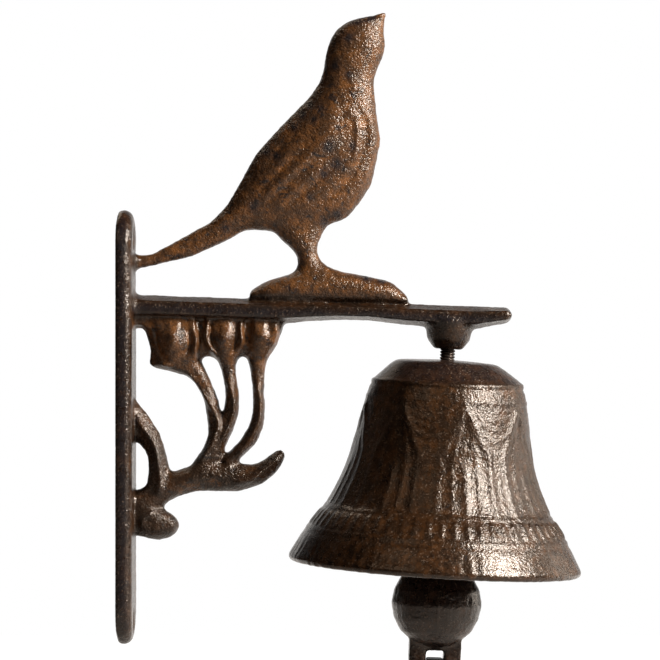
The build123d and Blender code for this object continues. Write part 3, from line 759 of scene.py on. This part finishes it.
def iron(name, shade, brown, warm, rust, black_share, gloss, sand_depth):
    """Rust-brown lacquer over sand-cast iron, with black patches, orange rust in the hollows and small pale glints
    painted into the colour.
    """
    material = bpy.data.materials.new(name)
    kit = NodeKit(material)
    place = kit.object_place()

    def lumps(size, detail, roughness=0.55, distortion=0.0):
        return kit.lumps(place, size, detail, roughness, distortion)

    def stored(layer):
        return kit.make("Attribute", attribute_name=layer).outputs["Fac"]

    # The rust layer also carries painted light: under the bracket's arm it brightens a recess that lies in shade.
    rusty = stored("rusty")
    base = kit.blend(kit.span(lumps(7, detail=4), 0.35, 0.65), shade, brown)
    base = kit.blend(kit.math("MULTIPLY", rusty, 0.9), base, warm)
    hollow = kit.math("MULTIPLY", kit.span(stored("worn"), 0.55, 0.25), 0.95)
    rust_spots = kit.span(lumps(3.2, detail=6, roughness=0.7, distortion=0.3), 0.44, 0.74)
    rust_share = kit.math("MULTIPLY", rust_spots, kit.math("ADD", rusty, hollow))
    color = kit.blend(kit.math("MINIMUM", rust_share, 1.0), base, rust)
    patches = lumps(4.2, detail=5, roughness=0.65, distortion=0.6)
    patches = kit.span(patches, 0.64 - black_share, 0.69 - black_share)
    color = kit.blend(kit.math("MULTIPLY", patches, 0.85), color, (0.006, 0.006, 0.008))
    marks = kit.math("MULTIPLY", stored("black"), kit.span(lumps(1.6, detail=4, roughness=0.65), 0.32, 0.46))
    marks = kit.math("MINIMUM", kit.math("MULTIPLY", marks, 1.1), 0.92)
    color = kit.blend(marks, color, (0.006, 0.006, 0.009))
    # Small pale spots: glints of light painted into the colour.
    painted_glints = kit.span(lumps(0.7, detail=2), 0.60, 0.70, 0.0, 0.4)
    color = kit.blend(painted_glints, color, (0.16, 0.115, 0.085))
    coarse = kit.math("MULTIPLY", lumps(1.7, detail=3), 0.9)
    sand_height = kit.math("ADD", lumps(0.7, detail=2, roughness=0.6), coarse)
    sand = kit.make("Bump", {
        "Strength": stored("grainy"),
        "Distance": sand_depth * mm,
        "Height": sand_height,
    }).outputs["Normal"]
    surface = kit.make("BsdfPrincipled", {
        "Base Color": color,
        "Roughness": kit.span(lumps(1.6, detail=4), 0.3, 0.7, gloss, gloss + 0.16),
        "Specular IOR Level": 0.3,
        "Specular Tint": (1.0, 0.82, 0.66),
        "Coat Weight": 0.4,
        "Coat Roughness": 0.14,
        "Coat Tint": (1.0, 0.88, 0.76),
        "Normal": sand,
        "Coat Normal": sand,
    })
    kit.make("OutputMaterial", {"Surface": surface.outputs["BSDF"]})
    return material


def clouded(name, size, detail, dark, light, metallic, roughness, cells=None):
    """A surface clouded from a dark to a lighter colour, with a grain of cells where their size is given."""
    material = bpy.data.materials.new(name)
    kit = NodeKit(material)
    place = kit.object_place()
    ramp = kit.make("ValToRGB", {"Fac": kit.lumps(place, size, detail)})
    for element, color in zip(ramp.color_ramp.elements, (dark, light)):
        element.color = (*color, 1)
    look = {"Base Color": ramp.outputs["Color"], "Metallic": metallic, "Roughness": roughness}
    if cells:
        edges = kit.make("TexVoronoi", {"Vector": place, "Scale": 1 / (cells * mm)}, feature="DISTANCE_TO_EDGE")
        grooves = {"Strength": 0.4, "Distance": 0.1 * mm, "Height": edges.outputs["Distance"]}
        look["Normal"] = kit.make("Bump", grooves).outputs["Normal"]
    surface = kit.make("BsdfPrincipled", look)
    kit.make("OutputMaterial", {"Surface": surface.outputs["BSDF"]})
    return material


bracket_iron = iron(
    "bracket_lacquer", shade=(0.005, 0.0025, 0.0014), brown=(0.015, 0.0063, 0.0026), warm=(0.043, 0.0192, 0.0078),
    rust=(0.13, 0.050, 0.0125), black_share=0.05, gloss=0.25, sand_depth=0.38)
bell_iron = iron(
    "bell_lacquer", shade=(0.0042, 0.0021, 0.0011), brown=(0.0100, 0.0044, 0.0017), warm=(0.0150, 0.0064, 0.0023),
    rust=(0.06, 0.023, 0.006), black_share=0.01, gloss=0.24, sand_depth=0.28)
dark_steel = clouded(
    "dark_steel", size=1.8, detail=4, dark=(0.02, 0.015, 0.012), light=(0.10, 0.075, 0.06),
    metallic=0.8, roughness=0.36)
black_leather = clouded(
    "black_leather", size=4, detail=2, dark=(0.008, 0.007, 0.007), light=(0.028, 0.024, 0.022),
    metallic=0.0, roughness=0.45, cells=0.8)
blackened_metal = clouded(
    "blackened_metal", size=0.9, detail=2, dark=(0.03, 0.027, 0.024), light=(0.11, 0.10, 0.09),
    metallic=1.0, roughness=0.38)
for pieces, material in (
    ([bracket], bracket_iron),
    ([bell, clapper], bell_iron),
    ([eye_bolt, hanging_ring, washer, nut], dark_steel),
    ([strap], black_leather),
    ([rivet], blackened_metal),
):
    for piece in pieces:
        piece.data.materials.clear()
        piece.data.materials.append(material)


# Floor: grey paint that throws little light back on the object, and a glow that makes it white in the picture

floor_z = cad_box[0].z - 0.012
floor_size = 1.3
glow_near, glow_far = 0.15, 0.75
glow_under_object = 0.22
mirrored_near, mirrored_far = 0.05, 0.4

floor_mesh = bpy.data.meshes.new("floor")
corners = [(x * floor_size, y * floor_size, floor_z) for x, y in ((-1, -1), (1, -1), (1, 1), (-1, 1))]
floor_mesh.from_pydata(corners, [], [(0, 1, 2, 3)])
floor = bpy.data.objects.new("floor", floor_mesh)
bpy.context.scene.collection.objects.link(floor)

floor_material = bpy.data.materials.new("white_floor")
kit = NodeKit(floor_material)
place = kit.object_place()
ray = kit.make("LightPath").outputs
from_bell = kit.make("VectorMath", {0: place, 1: (crown.x, 0, floor_z)}, operation="DISTANCE").outputs["Value"]
behind = kit.make("SeparateXYZ", {"Vector": place}).outputs["Y"]
seen_glow = kit.math("MAXIMUM", ray["Is Camera Ray"], kit.span(behind, mirrored_near, mirrored_far))
glow_strength = kit.math("MULTIPLY", seen_glow, kit.span(from_bell, glow_near, glow_far, glow_under_object, 1.0))
paint = kit.make("BsdfDiffuse", {"Color": (0.40, 0.393, 0.385)}).outputs[0]
glow = kit.make("Emission", {"Strength": glow_strength}).outputs[0]
lit_paint = kit.make("AddShader", {0: paint, 1: glow}).outputs[0]
shown = ray["Is Camera Ray"]
for kind in ("Is Glossy Ray", "Is Transmission Ray"):
    shown = kit.math("MAXIMUM", shown, ray[kind])
top = kit.make("MixShader", {"Fac": shown, 1: paint, 2: lit_paint}).outputs[0]
from_below = kit.make("NewGeometry").outputs["Backfacing"]
clear = kit.make("BsdfTransparent").outputs[0]
both_sides = kit.make("MixShader", {"Fac": from_below, 1: top, 2: clear}).outputs[0]
kit.make("OutputMaterial", {"Surface": both_sides})
floor_mesh.materials.append(floor_material)


# World: white to the camera. The object stands in a dark room, whose back wall is white where it is mirrored

wall_low, wall_high = 0.8, 0.985  # how far to the back a ray looks where the wall begins and is at its brightest
room_light, wall_light = 0.014, 0.4

world = bpy.data.worlds.new("studio")
bpy.context.scene.world = world
kit = NodeKit(world)
ray = kit.make("LightPath").outputs
way = kit.make("TexCoord").outputs["Generated"]
to_wall = kit.make("SeparateXYZ", {"Vector": way}).outputs["Y"]
mirrored = kit.math("MAXIMUM", ray["Is Glossy Ray"], ray["Is Transmission Ray"])
wall = kit.span(to_wall, wall_low, wall_high, room_light, kit.math("MAXIMUM", mirrored, wall_light))
strength = kit.math("MAXIMUM", ray["Is Camera Ray"], wall)
room = kit.make("Background", {"Color": (1, 1, 1), "Strength": strength}).outputs[0]
kit.make("OutputWorld", {"Surface": room})


# Lamps

def softbox(name, azimuth, elevation, distance, width, height, power, tint):
    """An area lamp by degrees round from the camera towards +X and above the horizon, aimed at the object."""
    aim = (cad_box[0] + cad_box[1]) / 2
    a, e = math.radians(azimuth), math.radians(elevation)
    lamp = bpy.data.lights.new(name, "AREA")
    lamp.shape = "RECTANGLE"
    lamp.size, lamp.size_y = width, height
    lamp.energy = power
    lamp.color = tint
    holder = bpy.data.objects.new(name, lamp)
    way = Vector((math.sin(a) * math.cos(e), -math.cos(a) * math.cos(e), math.sin(e)))
    holder.location = aim + way * distance
    holder.rotation_euler = way.to_track_quat("Z", "Y").to_euler()
    bpy.context.scene.collection.objects.link(holder)


softbox("key", azimuth=64, elevation=30, distance=1.1, width=0.26, height=0.42, power=38, tint=(1, 0.97, 0.93))
softbox("left_fill", azimuth=-30, elevation=40, distance=1.2, width=0.4, height=0.4, power=0.9, tint=(1, 0.8, 0.6))
softbox("right_rim", azimuth=122, elevation=10, distance=1.2, width=0.3, height=0.8, power=3, tint=(1, 0.93, 0.84))
softbox("left_back", azimuth=-145, elevation=46, distance=1.2, width=0.4, height=0.3, power=1.4, tint=(1, 0.84, 0.68))

bpy.context.scene.view_settings.view_transform = "Standard"
